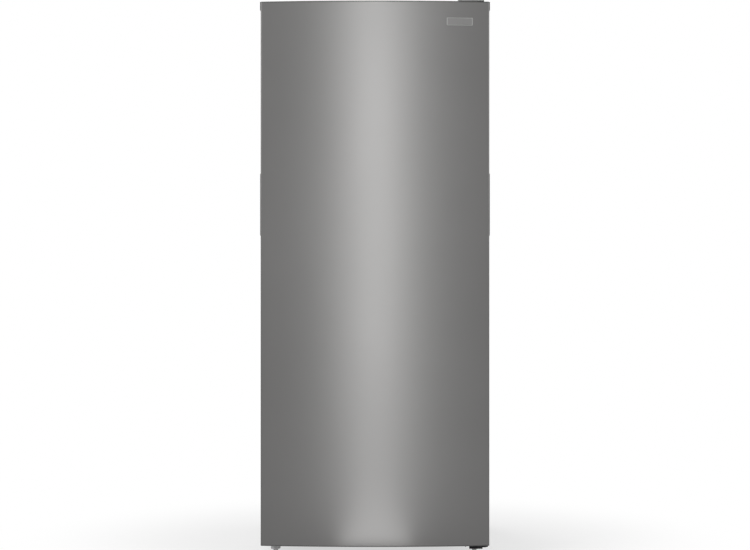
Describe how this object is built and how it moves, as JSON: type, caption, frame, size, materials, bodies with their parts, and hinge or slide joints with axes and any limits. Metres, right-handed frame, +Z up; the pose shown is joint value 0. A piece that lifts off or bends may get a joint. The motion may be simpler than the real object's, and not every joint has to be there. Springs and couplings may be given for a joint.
{
  "type": "upright freezer",
  "caption": "Tall grey free-standing freezer with a bowed right-hinged door, side finger grips, wire shelves, door bins, a slide-out basket, front levelling feet and rear rollers.",
  "frame": {"origin": "on the floor, in the middle of the overall width and depth", "axes": "+Z up, -Y towards the user in front of the door, +X towards the hinge side"},
  "size_m": [0.698, 0.727, 1.7],
  "materials": {
    "door_paint": "satin, faint metallic flake",
    "cabinet_paint": "satin, fine stipple",
    "trim_grey": "fine grain",
    "badge_silver": "satin silver",
    "zinc_steel": "zinc coated",
    "foam": "cellular",
    "liner_white": "smooth, semi-gloss",
    "white_plastic": "smooth, semi-gloss",
    "bin_plastic": "frosted clear",
    "clear_plastic": "clear",
    "board_white": "matt",
    "dial_grey": "fine grain",
    "wire_white": "epoxy coated",
    "tube_steel": "drawn",
    "aluminium": "mill finish",
    "black_plastic": "fine grain",
    "black_paint": "semi-gloss",
    "mount_rubber": "matt",
    "foot_grey": "fine grain",
    "roller_white": "fine grain",
    "pin_steel": "zinc plated",
    "bush_plastic": "smooth",
    "gasket_grey": "soft, matt",
    "magnet": "matt"
  },
  "bodies": {
    "cabinet": {"cabinet_wrapper": "cabinet_paint", "front_rail": "cabinet_paint", "cabinet_back": "zinc_steel", "bottom_panel": "zinc_steel", "base_pan": "zinc_steel", "rear_cover": "zinc_steel", "cabinet_foam": "foam", "cabinet_liner": "liner_white", "evaporator_cover": "liner_white", "condenser_loop": "tube_steel", "evaporator_coil": "aluminium", "defrost_heater": "tube_steel", "drain_trough": "aluminium", "fan_motor": "black_plastic", "control_housing": "white_plastic", "lamp_lens": "clear_plastic", "led_board": "board_white", "basket_rails": "white_plastic", "compressor": "black_paint", "compressor_mounts": "mount_rubber", "relay_box": "black_plastic", "drain_pan": "black_plastic", "cord_gland": "black_plastic", "foot_bracket": "black_paint", "roller_brackets": "zinc_steel", "top_hinge_bracket": "black_paint", "top_hinge_cover": "trim_grey", "bottom_hinge_bracket": "black_paint", "hinge_pins": "pin_steel", "cabinet_screws": "pin_steel", "hole_plugs": "trim_grey", "wire_shelf_1": "wire_white", "wire_shelf_2": "wire_white", "wire_shelf_3": "wire_white"},
    "door": {"door_skin": "door_paint", "door_foam": "foam", "door_liner": "liner_white", "door_top_cap": "trim_grey", "door_bottom_cap": "trim_grey", "door_gasket": "gasket_grey", "gasket_magnets": "magnet", "right_grip": "trim_grey", "left_grip": "trim_grey", "badge_plate": "badge_silver", "hinge_bushes": "bush_plastic", "door_bin_1": "bin_plastic", "door_bin_2": "bin_plastic", "door_bin_3": "bin_plastic", "door_bin_4": "bin_plastic", "door_bin_5": "bin_plastic"},
    "basket": {"basket": "white_plastic", "basket_handle": "white_plastic"},
    "fan": {"fan_blade": "black_plastic"},
    "dial": {"temperature_dial": "dial_grey"},
    "left_roller": {"left_roller": "roller_white"},
    "right_roller": {"right_roller": "roller_white"},
    "left_foot": {"left_foot": "foot_grey"},
    "right_foot": {"right_foot": "foot_grey"}
  },
  "joints": [
    {"name": "door_hinge", "type": "hinge", "parent": "cabinet", "child": "door", "pos_m": [0.319, -0.3275, 0.036], "axis": [0, 0, 1], "range_deg": [0, 130]},
    {"name": "basket_slide", "type": "slide", "parent": "cabinet", "child": "basket", "axis": [0, -1, 0], "range_m": [0, 0.16]},
    {"name": "fan_spin", "type": "hinge", "parent": "cabinet", "child": "fan", "pos_m": [0, 0.2505, 1.245], "axis": [0, 1, 0], "continuous": true},
    {"name": "dial_turn", "type": "hinge", "parent": "cabinet", "child": "dial", "pos_m": [0.078, -0.1615, 1.605], "axis": [0, 1, 0], "range_deg": [-130, 130]},
    {"name": "left_roller_spin", "type": "hinge", "parent": "cabinet", "child": "left_roller", "pos_m": [-0.3, 0.3215, 0.017], "axis": [1, 0, 0], "continuous": true},
    {"name": "left_foot_slide", "type": "slide", "parent": "cabinet", "child": "left_foot", "axis": [0, 0, -1], "range_m": [0, 0.012]},
    {"name": "right_roller_spin", "type": "hinge", "parent": "cabinet", "child": "right_roller", "pos_m": [0.3, 0.3215, 0.017], "axis": [1, 0, 0], "continuous": true},
    {"name": "right_foot_slide", "type": "slide", "parent": "cabinet", "child": "right_foot", "axis": [0, 0, -1], "range_m": [0, 0.012]}
  ],
  "couplings": [
    {"joint": "basket_slide", "follows": "door_hinge", "m_per_rad": 0.070517}
  ]
}
